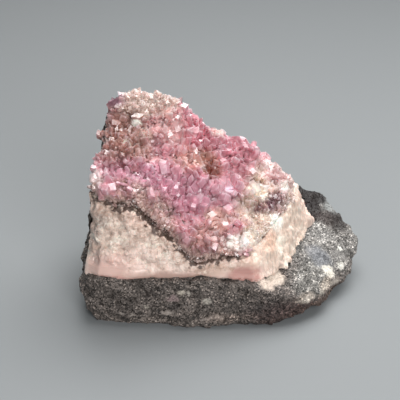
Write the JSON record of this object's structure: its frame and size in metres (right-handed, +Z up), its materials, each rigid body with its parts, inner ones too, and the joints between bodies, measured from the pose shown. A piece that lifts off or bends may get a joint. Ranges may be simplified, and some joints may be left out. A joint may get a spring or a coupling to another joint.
{
  "type": "cobaltoan calcite mineral specimen",
  "caption": "Hand specimen of pink cobaltoan calcite crystals over pale massive calcite on dark granular host rock, resting on its flat underside.",
  "frame": {"origin": "middle of the bounding box in plan, at the level of the flat underside that the specimen rests on", "axes": "+Z up, +X along the specimen's longest side towards the low lobe of bare host rock, -Y towards the broken front face, +Y towards the upright back"},
  "size_m": [0.0688, 0.046, 0.0496],
  "materials": {
    "host_rock": "granular, sparkling, freshly broken",
    "massive_calcite": "sugary to satin, broken",
    "crystal_druse": "translucent pink crystals, glassy faces"
  },
  "bodies": {
    "root": {"host_rock": "host_rock", "massive_calcite": "massive_calcite", "crystal_druse": "crystal_druse"}
  },
  "joints": []
}
